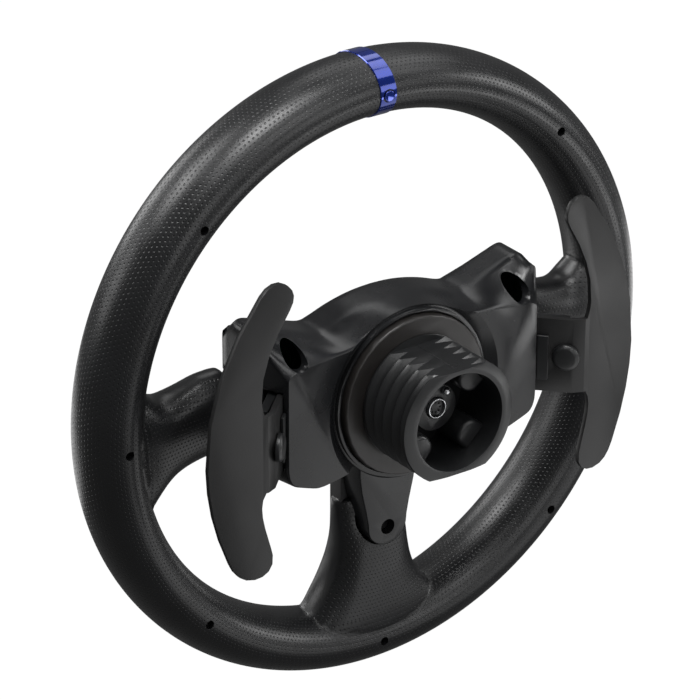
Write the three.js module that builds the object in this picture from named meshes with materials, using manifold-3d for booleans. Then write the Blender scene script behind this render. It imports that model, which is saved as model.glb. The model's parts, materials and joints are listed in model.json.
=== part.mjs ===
// A detachable racing wheel: a rubber grip moulded on a ring and a three-spoke frame, a
// two-shell hub with buttons and sprung shift paddles, and a quick-release collar behind it.
// Millimetres. The spin axis is Y: the driver sits on the -Y side and +Z is up. Left and
// right are the driver's, so left is -X. The work is done about the rim's centre, and the
// last group moves it so that the origin is the centre of the collar's rear face.
import * as THREE from "three";
import { mergeVertices } from "three/addons/utils/BufferGeometryUtils.js";
import Module from "manifold-3d";

const wasm = await Module();
wasm.setup();

// ---------------------------------------------------------------- driving dimensions
const GAP = 0.3; // clearance between pieces that touch

const RIM_R = 127; // spin axis to the centre of the grip's section
const GRIP_A = 13; // half the grip's section across the rim
const GRIP_B = 17.9; // half the grip's section along the spin axis
const RING_R = 6; // half the inner ring's section
const PIN_HOLE_R = 2;
const PIN_HOLE_DEPTH = 6;
const BAND_WIDTH = 8;
const BAND_PROUD = 0.5; // how far the marker band stands out of the grip
const BAND_DEEP = 1.1; // how far it is let into the grip

const HUB_TOP = 39; // the hub's highest point on the centre line
const POD_X = 70; // half width over the button pods
const PLATE_X = 63.8; // half width of the flat rear plate
const PLATE_Y = 38; // the flat rear plate
const FACE_Y = -6; // the front face
const BOSS_Y = -10; // the raised round middle of the front face
const BOSS_R = 25;
const WALL = 2.4;
const SEAM_DROP = 5.6; // how much lower the hub is at the shells' seam

const FRAME_FRONT = -2; // the spoke frame's front and rear faces
const FRAME_REAR = 6;
const FRAME_LOW = -10; // lower and upper edges of its side spokes
const FRAME_HIGH = 4;
const CUP_FRONT = 4;
const LOWER_HALF_WIDE = 15; // half width of its lower spoke
const CUP_R = 33; // the frame's central cup
const CUP_TOP = 32;
const DISC_R = 35.6;
const DISC_TOP = 39;
const RING_BOSS_R = 37.6;
const RING_BOSS_TOP = 35.9;
const DISH_R = 43.4; // sloping dish round the ring boss
const DISH_FLOOR = 33.6;

const COLLAR_R = 27.5;
const COLLAR_BORE_R = 21.6;
const COLLAR_ROOT_R = 24.4; // at the bottom of the thread
const COLLAR_FOOT_R = 23.9; // where it passes through the flange disc
const COLLAR_END = 69.4;
const END_FACE_R = 24.2; // the flat part of the end face, inside a shallow cone
const END_CONE = 1.1;
const COLLAR_WEB = 41; // floor of the bore
const LEDGE_TOP = 35; // the collar's inner ledge, which the lug insert clamps
const COLLAR_FLAT = 23.5; // the flats above and below
const THREAD_PITCH = 6.2;
const THREAD_TURNS = 4;
const THREAD_START = 41.2;
const THREAD_CREST = 0.3; // half the flat on each crest and root
const LUG_TOP = 60;
const LUG_R = 17; // spin axis to each lug's centre
const LUG_HALF = 5;
const CARRIER_R = 10.4;
const CARRIER_TOP = 52.5;

const LEG_TOP_Y = 19.5;
const LEG_HOLE_Z = -70;
const WELL_X = 57;
const WELL_Z = 31;
const WELL_R = 5;
const WELL_FLOOR = 7;

const PIVOT_X = 57.5; // paddle pivot
const PIVOT_Y = 29.5;
const PIVOT_PIN_R = 1.5;
const BARREL_R = 4.1;
const BLADE_T = 2.3;
const BLADE_Y = 49.3; // rear face of the blade where it meets its tab
const BLADE_LEAN = 0.091; // the blade's slope towards the rim, going outwards
const TAB_HALF = 17; // half the tab's height
const TAB_SLOPE = 29.3; // y = x - 29.3 along the rear of the tab's long stretch
const SCREW_X = 74.1; // the screw that holds the tab to its lever
const SLOT_HALF = TAB_HALF + 0.9;

const BOARD_T = 1.6;
const BUTTON_OUT = 2.2; // how far the buttons stand out of the front face
const FLANGE_T = 0.7; // thickness of a button's flange, behind the wall
const BUTTON_POD_X = 52;
const BUTTON_POD_Z = 15;
const BUTTON_STEP = 6.2; // from the middle of the four action buttons to each of them
const THUMB_X = 35.5; // the pill-shaped buttons below them
const CORNER_X = 47.6;
const PILL_Z = -15.8;
const CAP_R = 12.5; // the plain cap in the middle of the face
const CAP_Z = 2;
const MAIN_BOARD_Y = -5.2;
const SOCKET_R = 4.4; // the connector's metal shell
const EARTH_SCREW = [-4.6, 6.6];

// ---------------------------------------------------------------- materials
const look = (color, roughness, metalness = 0) =>
  new THREE.MeshStandardMaterial({ color, roughness, metalness });
const rubber = look(0x1d1d1f, 0.75);
const shellPlastic = look(0x26272a, 0.5);
const collarPlastic = look(0x222326, 0.45);
const discPlastic = look(0x2b2826, 0.55);
const paddleMetal = look(0x3a3b3d, 0.5, 0.6);
const frameMetal = look(0x4a4c50, 0.5, 0.7);
const steel = look(0xb8babd, 0.3, 1);
const blackSteel = look(0x202124, 0.4, 0.8);
const blueGloss = look(0x12319c, 0.12, 0.5);
const boardGreen = look(0x1f4d33, 0.6);
const silicone = look(0x8c8f92, 0.8);
const buttonPlastic = look(0x303236, 0.4);
const ribbonGrey = look(0x9a9c9f, 0.6);

// ---------------------------------------------------------------- solids
// A closed geometry as a solid, turned the right way out.
function solid(geometry) {
  const plain = geometry.index ? geometry.toNonIndexed() : geometry.clone();
  plain.deleteAttribute("normal");
  plain.deleteAttribute("uv");
  const merged = mergeVertices(plain, 1e-4);
  const vertProperties = merged.attributes.position.array;
  const triVerts = new Uint32Array(merged.index.array);
  const made = new wasm.Manifold(new wasm.Mesh({ numProp: 3, vertProperties, triVerts }));
  if (made.volume() > 0) return made;
  const turned = triVerts.map((_, i) => triVerts[i - (i % 3) + 2 - (i % 3)]);
  return new wasm.Manifold(new wasm.Mesh({ numProp: 3, vertProperties, triVerts: turned }));
}

const union = (...parts) => parts.reduce((a, b) => a.add(b));
const minus = (body, ...cuts) => cuts.reduce((a, b) => a.subtract(b), body);
const mirrorX = (body) => body.mirror([1, 0, 0]);

// An outline in X and Z, pushed along Y from y0 to y1.
function prism(shape, y0, y1, curveSegments = 8) {
  const options = { depth: y1 - y0, bevelEnabled: false, curveSegments };
  return solid(new THREE.ExtrudeGeometry(shape, options).rotateX(Math.PI / 2).translate(0, y1, 0));
}

// An outline in X and Y, pushed along Z from z0 to z1.
function column(points, z0, z1) {
  const shape = new THREE.Shape(points.map(([x, y]) => new THREE.Vector2(x, y)));
  const options = { depth: z1 - z0, bevelEnabled: false };
  return solid(new THREE.ExtrudeGeometry(shape, options).translate(0, 0, z0));
}

const polygon = (points) => new THREE.Shape(points.map(([x, z]) => new THREE.Vector2(x, z)));

// A round bar along Y.
function bar(r, y0, y1, x = 0, z = 0, sides = 16) {
  const g = new THREE.CylinderGeometry(r, r, y1 - y0, sides);
  return solid(g.translate(x, (y0 + y1) / 2, z));
}

// A round bar along Z.
function post(r, z0, z1, x, y, sides = 16) {
  const g = new THREE.CylinderGeometry(r, r, z1 - z0, sides).rotateX(Math.PI / 2);
  return solid(g.translate(x, y, (z0 + z1) / 2));
}

function block(x0, x1, y0, y1, z0, z1) {
  const g = new THREE.BoxGeometry(x1 - x0, y1 - y0, z1 - z0);
  return solid(g.translate((x0 + x1) / 2, (y0 + y1) / 2, (z0 + z1) / 2));
}

// A profile of [radius, y] points turned about the spin axis.
function turned(profile, segments) {
  const points = [...profile, profile[0]].map(([r, y]) => new THREE.Vector2(r, y));
  return solid(new THREE.LatheGeometry(points, segments));
}

// A skin over sections that each hold the same number of 3-D points, with flat ends.
function loft(sections) {
  const n = sections[0].length;
  const at = sections.flat().map((p) => new THREE.Vector3(...p));
  const faces = [];
  for (let s = 0; s + 1 < sections.length; s++)
    for (let i = 0; i < n; i++) {
      const a = s * n + i;
      const b = s * n + ((i + 1) % n);
      faces.push([a, b, a + n], [b, b + n, a + n]);
    }
  const cap = capTriangles(sections[0]);
  const last = (sections.length - 1) * n;
  for (const [a, b, c] of cap) {
    faces.push([a, c, b]);
    faces.push([last + a, last + b, last + c]);
  }
  const corners = faces.flatMap((face) => face.flatMap((i) => at[i].toArray()));
  const g = new THREE.BufferGeometry();
  return solid(g.setAttribute("position", new THREE.Float32BufferAttribute(corners, 3)));
}

// Triangles over a flat section, running the same way round as the section itself.
function capTriangles(section) {
  const spread = [0, 1, 2].map((k) => {
    const values = section.map((p) => p[k]);
    return Math.max(...values) - Math.min(...values);
  });
  const flat = spread.indexOf(Math.min(...spread));
  const [u, v] = [0, 1, 2].filter((k) => k !== flat);
  const contour = section.map((p) => new THREE.Vector2(p[u], p[v]));
  const triangles = THREE.ShapeUtils.triangulateShape(contour, []);
  const sameWay = THREE.ShapeUtils.area(contour) > 0;
  return triangles.map(([a, b, c]) => (sameWay ? [a, b, c] : [a, c, b]));
}

// ---------------------------------------------------------------- scene graph
const wheel = new THREE.Group(); // everything, about the rim's centre

function piece(name, body, material) {
  const m = body.getMesh();
  const g = new THREE.BufferGeometry();
  const positions = new Float32Array(m.numVert * 3);
  for (let i = 0; i < m.numVert; i++)
    positions.set(m.vertProperties.subarray(i * m.numProp, i * m.numProp + 3), i * 3);
  g.setAttribute("position", new THREE.BufferAttribute(positions, 3));
  g.setIndex(new THREE.BufferAttribute(new Uint32Array(m.triVerts), 1));
  g.computeVertexNormals();
  const mesh = new THREE.Mesh(g, material);
  mesh.name = name;
  wheel.add(mesh);
  return mesh;
}

// The driver's side of a piece that is drawn on the +X side.
const SIDES = [
  ["right", (body) => body],
  ["left", mirrorX],
];

// ---------------------------------------------------------------- rim
const oval = (a, b, sides) =>
  Array.from({ length: sides }, (_, i) => {
    const t = (i / sides) * 2 * Math.PI;
    return [RIM_R + a * Math.cos(t), b * Math.sin(t)];
  });

// A rounded bar section: half sizes about a middle, flattened towards its corners.
function roundedSection(mid, half, place) {
  const sides = 12;
  const soft = (c) => Math.sign(c) * Math.abs(c) ** 0.85;
  return Array.from({ length: sides }, (_, i) => {
    const t = ((i + 0.5) / sides) * 2 * Math.PI;
    return place(mid[0] + half[0] * soft(Math.cos(t)), mid[1] + half[1] * soft(Math.sin(t)));
  });
}

// Rubber over a side spoke, as [x, lowest z, highest z, half depth].
const SIDE_SLEEVE = [
  [71.5, -19.5, 17.5, 9.5],
  [82, -20, 17, 10.5],
  [90, -21, 14.8, 11.5],
  [97, -23, 13.2, 12.5],
  [102, -26, 12.8, 13.2],
  [106.5, -30.5, 14.5, 14],
  [111, -36, 18.5, 14.5],
  [119, -40, 22, 15],
];

// Rubber over the lower spoke, as [z, half width, front, rear].
const LOWER_SLEEVE = [
  [-58.5, 16.5, -5.5, 10],
  [-66, 17, -6, 12],
  [-76, 17.6, -7, 16],
  [-86, 19, -9, 17],
  [-94, 21.2, -11, 17.2],
  [-100, 24, -12, 17.2],
  [-106, 28, -12.5, 17.2],
  [-114, 34, -11.5, 17.2],
  [-122, 36, -9, 16.8],
];

function sleeves() {
  const side = loft(
    SIDE_SLEEVE.map(([x, low, high, deep]) =>
      roundedSection([0, (low + high) / 2], [deep, (high - low) / 2], (y, z) => [x, y, z]),
    ),
  );
  const lower = loft(
    LOWER_SLEEVE.map(([z, wide, front, rear]) =>
      roundedSection([0, (front + rear) / 2], [wide, (rear - front) / 2], (x, y) => [x, y, z]),
    ),
  );
  return union(side, mirrorX(side), lower);
}

// The ring inside the grip, or with a clearance the room that it takes.
const ringBody = (grow) => {
  const r = RING_R + grow;
  const corners = [0, 1, 2, 3, 4, 5].map((i) => (i * Math.PI) / 3);
  return turned(corners.map((a) => [RIM_R + r * Math.cos(a), r * Math.sin(a)]), 32);
};

// The frame's three spokes, which stop just short of the ring.
function spokes(grow) {
  const end = RIM_R - RING_R;
  const front = FRAME_FRONT - grow;
  const rear = FRAME_REAR + grow;
  const side = block(CUP_R - 3, end, front, rear, FRAME_LOW - grow, FRAME_HIGH + grow);
  const lower = block(-LOWER_HALF_WIDE - grow, LOWER_HALF_WIDE + grow, front, rear, -end, 3 - CUP_R);
  const star = union(side, mirrorX(side), lower);
  return grow ? star : star.intersect(bar(end - 1, front, rear, 0, 0, 40));
}

function pinHoles() {
  const holes = [];
  for (let i = 1; i < 8; i++) {
    const a = (i / 8) * 2 * Math.PI;
    const x = RIM_R * Math.sin(a);
    const z = RIM_R * Math.cos(a);
    holes.push(bar(PIN_HOLE_R, GRIP_B - PIN_HOLE_DEPTH, GRIP_B + 5, x, z, 8));
  }
  return holes;
}

// An oval collar round the grip's section at the top, kept on one side of the rim's plane.
function bandRing(outer, inner, width, low, high) {
  const arc = (grow) =>
    Array.from({ length: 13 }, (_, i) => {
      const t = low + (i / 12) * (high - low);
      return [RIM_R + (GRIP_A + grow) * Math.cos(t), (GRIP_B + grow) * Math.sin(t)];
    });
  const points = [...arc(outer), ...arc(-inner).reverse()];
  const across = points.map(([z, y]) => [y, z]);
  const shape = new THREE.Shape(across.map(([y, z]) => new THREE.Vector2(y, z)));
  const options = { depth: width, bevelEnabled: false };
  const g = new THREE.ExtrudeGeometry(shape, options).rotateY(Math.PI / 2).rotateX(Math.PI / 2);
  return solid(g.translate(-width / 2, 0, 0));
}

function rim() {
  const grip = union(turned(oval(GRIP_A, GRIP_B, 12), 48), sleeves());
  const wide = BAND_WIDTH + 2 * GAP;
  const groove = minus(
    block(-wide / 2, wide / 2, -30, 30, RIM_R - 22, RIM_R + 22),
    bandCore(BAND_DEEP + GAP),
  );
  const bandScrewHole = bar(1.7, GRIP_B - 12, GRIP_B + 5, 0, RIM_R, 12);
  const body = minus(
    grip,
    ringBody(GAP),
    spokes(GAP),
    groove,
    legRoom(),
    bandScrewHole,
    ...pinHoles(),
  );
  piece("rim_ring", ringBody(0), frameMetal);
  piece("rim_grip", body, rubber);
}

// The grip's own section where the band sits, as a short bar along X.
function bandCore(inner) {
  const points = Array.from({ length: 24 }, (_, i) => {
    const t = (i / 24) * 2 * Math.PI;
    return [(GRIP_B - inner) * Math.sin(t), RIM_R + (GRIP_A - inner) * Math.cos(t)];
  });
  const shape = polygon(points);
  const g = new THREE.ExtrudeGeometry(shape, { depth: 40, bevelEnabled: false });
  return solid(g.rotateY(Math.PI / 2).rotateX(Math.PI / 2).translate(-20, 0, 0));
}

function markerBand() {
  const seam = 0.012;
  const rear = bandRing(BAND_PROUD, BAND_DEEP, BAND_WIDTH, seam, Math.PI - seam);
  const front = bandRing(BAND_PROUD, BAND_DEEP, BAND_WIDTH, seam - Math.PI, -seam);
  const recess = bar(2.9, GRIP_B - 0.2, GRIP_B + 3, 0, RIM_R, 16);
  const hole = bar(1.7, GRIP_B - 5, GRIP_B + 3, 0, RIM_R, 12);
  piece("band_rear", minus(rear, recess, hole), blueGloss);
  piece("band_front", front, blueGloss);
  const head = bar(2.4, GRIP_B - 0.2 + GAP / 2, GRIP_B + 1, 0, RIM_R, 16);
  const shank = bar(1.3, GRIP_B - 8, GRIP_B + 0.5, 0, RIM_R, 12);
  piece("band_screw", union(head, shank), blueGloss);
}

// ---------------------------------------------------------------- spoke frame
function spokeFrame() {
  const cup = turned([[CUP_R, CUP_FRONT], [CUP_R, CUP_TOP], [9.6, CUP_TOP], [9.6, CUP_TOP - 5],
    [CUP_R - 4, CUP_TOP - 5], [CUP_R - 4, CUP_FRONT]], 28);
  const holes = lugPlaces().map(([x, z]) => bar(1.9, CUP_TOP - 8, CUP_TOP + 2, x, z, 8));
  const legHole = bar(2, FRAME_FRONT - 1, FRAME_REAR + 1, 0, LEG_HOLE_Z, 8);
  const inside = bar(CUP_R - 4, FRAME_FRONT - 1, CUP_TOP - 5, 0, 0, 28);
  piece("spoke_frame", minus(union(cup, minus(spokes(0), inside)), legHole, ...holes), frameMetal);
}

const lugPlaces = () =>
  [45, 135, 225, 315].map((deg) => {
    const a = THREE.MathUtils.degToRad(deg);
    return [LUG_R * Math.cos(a), LUG_R * Math.sin(a)];
  });

// ---------------------------------------------------------------- hub shells
// Half outlines, from the top of the centre line clockwise to the bottom, as [x, z]. The
// two have the same number of points, so that a wall can run from one to the other.
const LOWER_HALF = [[48, -30], [33, -27.3], [29.5, -25.2], [21.8, -32.2], [11.5, -37.2]];
const MIDDLE_HALF = [[0, HUB_TOP], [12, 38.2], [24, 35.5], [36, 31.1], [67, 41.3], [POD_X, 39.5],
  [POD_X, 19], [66, 14], [66, -20], [64, -25.5], ...LOWER_HALF];
const SLOPE_HALF = [[0, 38.9], [12, 37.6], [24, 33.2], [35, 30.2], [63.4, 34.6], [POD_X, 39.3],
  [POD_X, 19], [66, 14], [65.5, -20], [63.5, -25.5], ...LOWER_HALF];
const REAR_HALF = [[0, 38.9], [12, 37], [24, 31], [33.2, 29.3], [59, 27.4], [PLATE_X, 25],
  [PLATE_X, 19], [PLATE_X, 14], [PLATE_X, -20], [62, -25], ...LOWER_HALF];

// A whole outline at depth y, with its width and height taken in by dx and dz.
function outline(half, y, dx = 0, dz = 0) {
  const kx = 1 - dx / POD_X;
  const kz = 1 - dz / HUB_TOP;
  const right = half.map(([x, z]) => [x * kx, y, z * kz]);
  const bottom = [[0, y, -38.9 * kz]];
  const left = right.slice(1).reverse().map(([x, , z]) => [-x, y, z]);
  return [...right, ...bottom, ...left];
}

function rearShell() {
  const outer = loft([outline(MIDDLE_HALF, GAP / 2, 0, SEAM_DROP), outline(MIDDLE_HALF, 6),
    outline(MIDDLE_HALF, 20), outline(SLOPE_HALF, 28), outline(REAR_HALF, 36.6),
    outline(REAR_HALF, PLATE_Y, 1.2, 1)]);
  const inner = loft([outline(MIDDLE_HALF, -1, WALL, SEAM_DROP + WALL),
    outline(MIDDLE_HALF, 6, WALL, WALL), outline(MIDDLE_HALF, 18.5, WALL, WALL),
    outline(SLOPE_HALF, 26, WALL, WALL), outline(REAR_HALF, 34.4, WALL, WALL + 1),
    outline(REAR_HALF, PLATE_Y - WALL, WALL + 1, WALL + 2)]);
  const floor = bar(DISH_R + WALL, DISH_FLOOR - 2.6, PLATE_Y, 0, 0, 24);
  let body = minus(outer, minus(inner, floor));
  body = body.add(wellBosses().intersect(outer)).add(hingeBosses().intersect(outer));
  body = body.add(minus(leg(), inner));
  const dish = turned([[0, RING_BOSS_TOP], [RING_BOSS_R, RING_BOSS_TOP], [RING_BOSS_R, DISH_FLOOR],
    [RING_BOSS_R + 0.8, DISH_FLOOR], [DISH_R, PLATE_Y + 0.2], [DISH_R, 45], [0, 45]], 32);
  const seat = bar(DISC_R + 0.6, CUP_TOP + GAP, 45, 0, 0, 32);
  const cupRoom = bar(CUP_R + 0.6, -2, CUP_TOP + 1, 0, 0, 28);
  piece("rear_housing", minus(body, dish, seat, cupRoom, ...rearCuts()), shellPlastic);
}

function wellBosses() {
  const boss = bar(WELL_R + 2, 2.7, PLATE_Y + 2, WELL_X, WELL_Z, 14);
  return union(boss, mirrorX(boss));
}

// Ears that hold the paddles' hinge pins, above and below each lever.
function hingeBosses() {
  const ear = (z0, z1) => block(PIVOT_X - 5, 61, 24.5, 36, z0, z1);
  const pair = union(ear(15.2, SLOT_HALF + 3), ear(-SLOT_HALF - 3, -15.2));
  return union(pair, mirrorX(pair));
}

function rearCuts() {
  const side = [
    bar(WELL_R, WELL_FLOOR, 50, WELL_X, WELL_Z, 16),
    bar(1.9, 0, 50, WELL_X, WELL_Z, 8),
    post(PIVOT_PIN_R + 0.2, -19.5, 19.5, PIVOT_X, PIVOT_Y, 12),
    block(61.2, 80, 24.5, PLATE_Y - WALL, -SLOT_HALF, SLOT_HALF),
    spokeWindow(),
  ];
  return [...side, ...side.map(mirrorX), lowerWindow(), ...legCuts()];
}

// Openings in both shells that the frame's spokes leave by.
const spokeWindow = () =>
  block(50, 80, FRAME_FRONT - 0.5, FRAME_REAR + 0.5, FRAME_LOW - 0.5, FRAME_HIGH + 0.5);
const lowerWindow = () =>
  block(-LOWER_HALF_WIDE - 0.5, LOWER_HALF_WIDE + 0.5, FRAME_FRONT - 0.5, FRAME_REAR + 0.5, -60, -20);

// ---------------------------------------------------------------- lower leg
const LEG_HALF = [[14.6, -30], [14.6, -42], [13.6, -50], [11.3, -60], [10, -67]];

function legShape(grow) {
  const shape = new THREE.Shape();
  shape.moveTo(LEG_HALF[0][0] + grow, LEG_HALF[0][1]);
  LEG_HALF.slice(1).forEach(([x, z]) => shape.lineTo(x + grow, z));
  shape.absarc(0, -68.5, 9.9 + grow, 0, -Math.PI, true);
  LEG_HALF.slice().reverse().forEach(([x, z]) => shape.lineTo(-x - grow, z));
  return shape;
}

const leg = () => prism(legShape(0), FRAME_REAR + 0.8, LEG_TOP_Y, 10);
const legRoom = () => prism(legShape(1.2), FRAME_REAR + GAP, LEG_TOP_Y + 20, 10);
const legCuts = () => [
  bar(3.5, LEG_TOP_Y - 7, LEG_TOP_Y + 5, 0, LEG_HOLE_Z, 16),
  bar(2.1, 0, LEG_TOP_Y + 5, 0, LEG_HOLE_Z, 8),
];

// ---------------------------------------------------------------- front shell
function frontShell() {
  const outer = loft([outline(MIDDLE_HALF, FACE_Y, 5, 11.5), outline(MIDDLE_HALF, -4, 2.2, 9.2),
    outline(MIDDLE_HALF, -GAP / 2, 0, SEAM_DROP)]);
  const inner = loft([outline(MIDDLE_HALF, FACE_Y + WALL, 7, 13.4),
    outline(MIDDLE_HALF, -1.8, 4.4, 10.9), outline(MIDDLE_HALF, 1, WALL, SEAM_DROP + WALL - 0.6)]);
  const boss = turned([[0, 0], [BOSS_R, 0], [BOSS_R, BOSS_Y + 1], [BOSS_R - 1, BOSS_Y],
    [0, BOSS_Y]], 32);
  const bossRoom = bar(BOSS_R - WALL, BOSS_Y + WALL, 3, 0, 0, 28);
  const cuts = [spokeWindow(), mirrorX(spokeWindow()), lowerWindow()];
  BUTTONS.forEach((b) => cuts.push(prism(b.shape(0.35), -14, 0, 5).translate([b.x, 0, b.z])));
  cuts.push(prism(crossShape(0.5), -14, 0).translate([-BUTTON_POD_X, 0, BUTTON_POD_Z]));
  cuts.push(bar(CAP_R + GAP, BOSS_Y - 1, BOSS_Y + 1.2, 0, CAP_Z, 24));
  cuts.push(bar(2.4, BOSS_Y - 1, BOSS_Y + 5, 0, CAP_Z, 8));
  piece("front_shell", minus(union(minus(outer, inner), boss), bossRoom, ...cuts), shellPlastic);
}

function centreCap() {
  const plate = turned([[0, BOSS_Y + 0.9], [CAP_R, BOSS_Y + 0.9], [CAP_R, BOSS_Y - 0.6],
    [CAP_R - 1.2, BOSS_Y - 1.6], [0, BOSS_Y - 2.2]], 24);
  const stem = bar(2.1, BOSS_Y + 0.5, BOSS_Y + 3.4, 0, 0, 8);
  piece("centre_cap", union(plate, stem).translate([0, 0, CAP_Z]), buttonPlastic);
}

// ---------------------------------------------------------------- buttons
function roundShape(r) {
  return (grow) => new THREE.Shape().absarc(0, 0, r + grow, 0, 2 * Math.PI);
}

function pillShape(halfLong, r) {
  return (grow) => {
    const shape = new THREE.Shape();
    shape.absarc(halfLong - r, 0, r + grow, -Math.PI / 2, Math.PI / 2);
    shape.absarc(r - halfLong, 0, r + grow, Math.PI / 2, 1.5 * Math.PI);
    return shape;
  };
}

function crossShape(grow) {
  const a = 8.5 + grow;
  const b = 3.1 + grow;
  return polygon([[a, -b], [a, b], [b, b], [b, a], [-b, a], [-b, b], [-a, b], [-a, -b], [-b, -b],
    [-b, -a], [b, -a], [b, -b]]);
}

// Each button as its name, its middle in X and Z, its outline and the face it stands in.
const BUTTONS = [
  ["upper_action_button", BUTTON_POD_X, BUTTON_POD_Z + BUTTON_STEP, roundShape(2.9), FACE_Y],
  ["lower_action_button", BUTTON_POD_X, BUTTON_POD_Z - BUTTON_STEP, roundShape(2.9), FACE_Y],
  ["inner_action_button", BUTTON_POD_X - BUTTON_STEP, BUTTON_POD_Z, roundShape(2.9), FACE_Y],
  ["outer_action_button", BUTTON_POD_X + BUTTON_STEP, BUTTON_POD_Z, roundShape(2.9), FACE_Y],
  ["right_thumb_button", THUMB_X, PILL_Z, pillShape(4.4, 2.2), FACE_Y],
  ["right_corner_button", CORNER_X, PILL_Z, pillShape(4.4, 2.2), FACE_Y],
  ["left_thumb_button", -THUMB_X, PILL_Z, pillShape(4.4, 2.2), FACE_Y],
  ["left_corner_button", -CORNER_X, PILL_Z, pillShape(4.4, 2.2), FACE_Y],
  ["right_option_button", 16.6, -8.5, roundShape(2.4), BOSS_Y],
  ["left_option_button", -16.6, -8.5, roundShape(2.4), BOSS_Y],
  ["home_button", 0, -16.6, roundShape(3), BOSS_Y],
].map(([name, x, z, shape, face]) => ({ name, x, z, shape, face }));

function buttons() {
  BUTTONS.forEach(({ name, x, z, shape, face }) => {
    const back = face + WALL + GAP;
    const cap = prism(shape(0), face - BUTTON_OUT, back + 0.1, 5);
    const flange = prism(shape(0.7), back, back + FLANGE_T, 5);
    piece(name, union(cap, flange).translate([x, 0, z]), buttonPlastic);
  });
}

// The direction pad tips up and down on its rocker, which tips from side to side.
function directionPad() {
  const cross = prism(crossShape(0), FACE_Y - BUTTON_OUT, FACE_Y + WALL - 0.3);
  const dish = solid(new THREE.SphereGeometry(14, 12, 8)).translate([0, FACE_Y - 15.6, 0]);
  const rocker = block(-7, 7, FACE_Y + WALL + 0.7, FACE_Y + WALL + 1.7, -7, 7);
  const place = [-BUTTON_POD_X, 0, BUTTON_POD_Z];
  piece("direction_pad", minus(cross, dish).translate(place), buttonPlastic);
  piece("pad_rocker", rocker.translate(place), buttonPlastic);
}

// ---------------------------------------------------------------- boards and keypads
function electronics() {
  const board = bar(20, MAIN_BOARD_Y, MAIN_BOARD_Y + BOARD_T, 0, 0, 24);
  const header = block(-5, 5, MAIN_BOARD_Y + 1, MAIN_BOARD_Y + BOARD_T + 2, -9, -5);
  piece("main_board", union(board, header), boardGreen);
  SIDES.forEach(([side, place]) => {
    piece(side + "_button_board", place(block(38, 62.5, 0.7, 2.3, 5.4, 24)), boardGreen);
    piece(side + "_keypad", place(block(39, 61.5, -0.5, 0.4, 6, 23.4)), silicone);
    piece(side + "_lower_board", place(block(31, 55, -1, 0.6, -19, -11)), boardGreen);
  });
  const headerY = MAIN_BOARD_Y + BOARD_T + 2.3;
  const route = [[0, CUP_TOP + 0.1, 0], [0, 24, -1], [0, 12, -4], [0, 4, -6.6], [0, headerY, -7]];
  piece("connector_lead", ribbon(route, 8, 1.1), ribbonGrey);
}

function ribbon(points, wide, thick) {
  const path = new THREE.CatmullRomCurve3(points.map((p) => new THREE.Vector3(...p)));
  const shape = polygon([[-wide / 2, -thick / 2], [wide / 2, -thick / 2], [wide / 2, thick / 2],
    [-wide / 2, thick / 2]]);
  const options = { steps: 12, bevelEnabled: false, extrudePath: path };
  return solid(new THREE.ExtrudeGeometry(shape, options));
}

// ---------------------------------------------------------------- collar
function flangeDisc() {
  const inner = COLLAR_FOOT_R + GAP;
  const ring = turned([[inner, CUP_TOP + GAP * 2], [DISC_R, CUP_TOP + GAP * 2],
    [DISC_R, DISC_TOP - 0.6], [DISC_R - 0.6, DISC_TOP], [inner, DISC_TOP]], 32);
  piece("flange_disc", ring, discPlastic);
}

// Ridges of the coarse thread, as a stepped profile along the collar's outside.
function collarProfile() {
  const outside = [[COLLAR_FOOT_R, CUP_TOP + GAP], [COLLAR_FOOT_R, DISC_TOP + GAP],
    [COLLAR_R, DISC_TOP + GAP]];
  for (let i = 0; i < THREAD_TURNS; i++) {
    const root = THREAD_START + (i + 0.5) * THREAD_PITCH;
    const flank = THREAD_PITCH / 2 - THREAD_CREST;
    outside.push([COLLAR_R, root - flank], [COLLAR_ROOT_R, root - THREAD_CREST],
      [COLLAR_ROOT_R, root + THREAD_CREST], [COLLAR_R, root + flank]);
  }
  outside.push([COLLAR_R, COLLAR_END - END_CONE], [END_FACE_R, COLLAR_END]);
  const inside = [[COLLAR_BORE_R + 0.5, COLLAR_END], [COLLAR_BORE_R, COLLAR_END - 0.5],
    [COLLAR_BORE_R, LEDGE_TOP], [CARRIER_R + 0.4, LEDGE_TOP], [CARRIER_R + 0.4, CUP_TOP + GAP]];
  return [...outside, ...inside];
}

// A rounded lug that stands on the insert's floor and runs out to its edge.
function lug(x, z) {
  const reach = COLLAR_BORE_R - GAP;
  const k = reach / Math.hypot(x, z);
  const core = bar(LUG_HALF, COLLAR_WEB - 1, LUG_TOP, x, z, 14);
  const root = bar(LUG_HALF, COLLAR_WEB - 1, LUG_TOP, x * k, z * k, 8);
  return core.add(root).intersect(bar(reach, 0, COLLAR_END, 0, 0, 32));
}

const collarHoles = (top) => lugPlaces().map(([x, z]) => bar(1.6, 30, top, x, z, 8));

function collar() {
  const flat = block(-40, 40, DISC_TOP + GAP / 2, 80, COLLAR_FLAT, 40);
  const sleeve = minus(turned(collarProfile(), 32), flat, flat.mirror([0, 0, 1]));
  piece("collar", minus(sleeve, ...collarHoles(38)), collarPlastic);
  const foot = turned([[CARRIER_R + 0.4, LEDGE_TOP + GAP], [COLLAR_BORE_R - GAP, LEDGE_TOP + GAP],
    [COLLAR_BORE_R - GAP, COLLAR_WEB], [CARRIER_R + 0.4, COLLAR_WEB]], 32);
  const insert = union(foot, ...lugPlaces().map(([x, z]) => lug(x, z)));
  piece("lug_insert", minus(insert, ...collarHoles(50)), collarPlastic);
  lugPlaces().forEach(([x, z], i) => {
    const head = bar(3, CUP_TOP - 8, CUP_TOP - 5 - GAP, x, z, 12);
    const shank = bar(1.3, CUP_TOP - 6, 47, x, z, 8);
    piece("collar_screw_" + (i + 1), union(head, shank), steel);
  });
}

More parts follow.
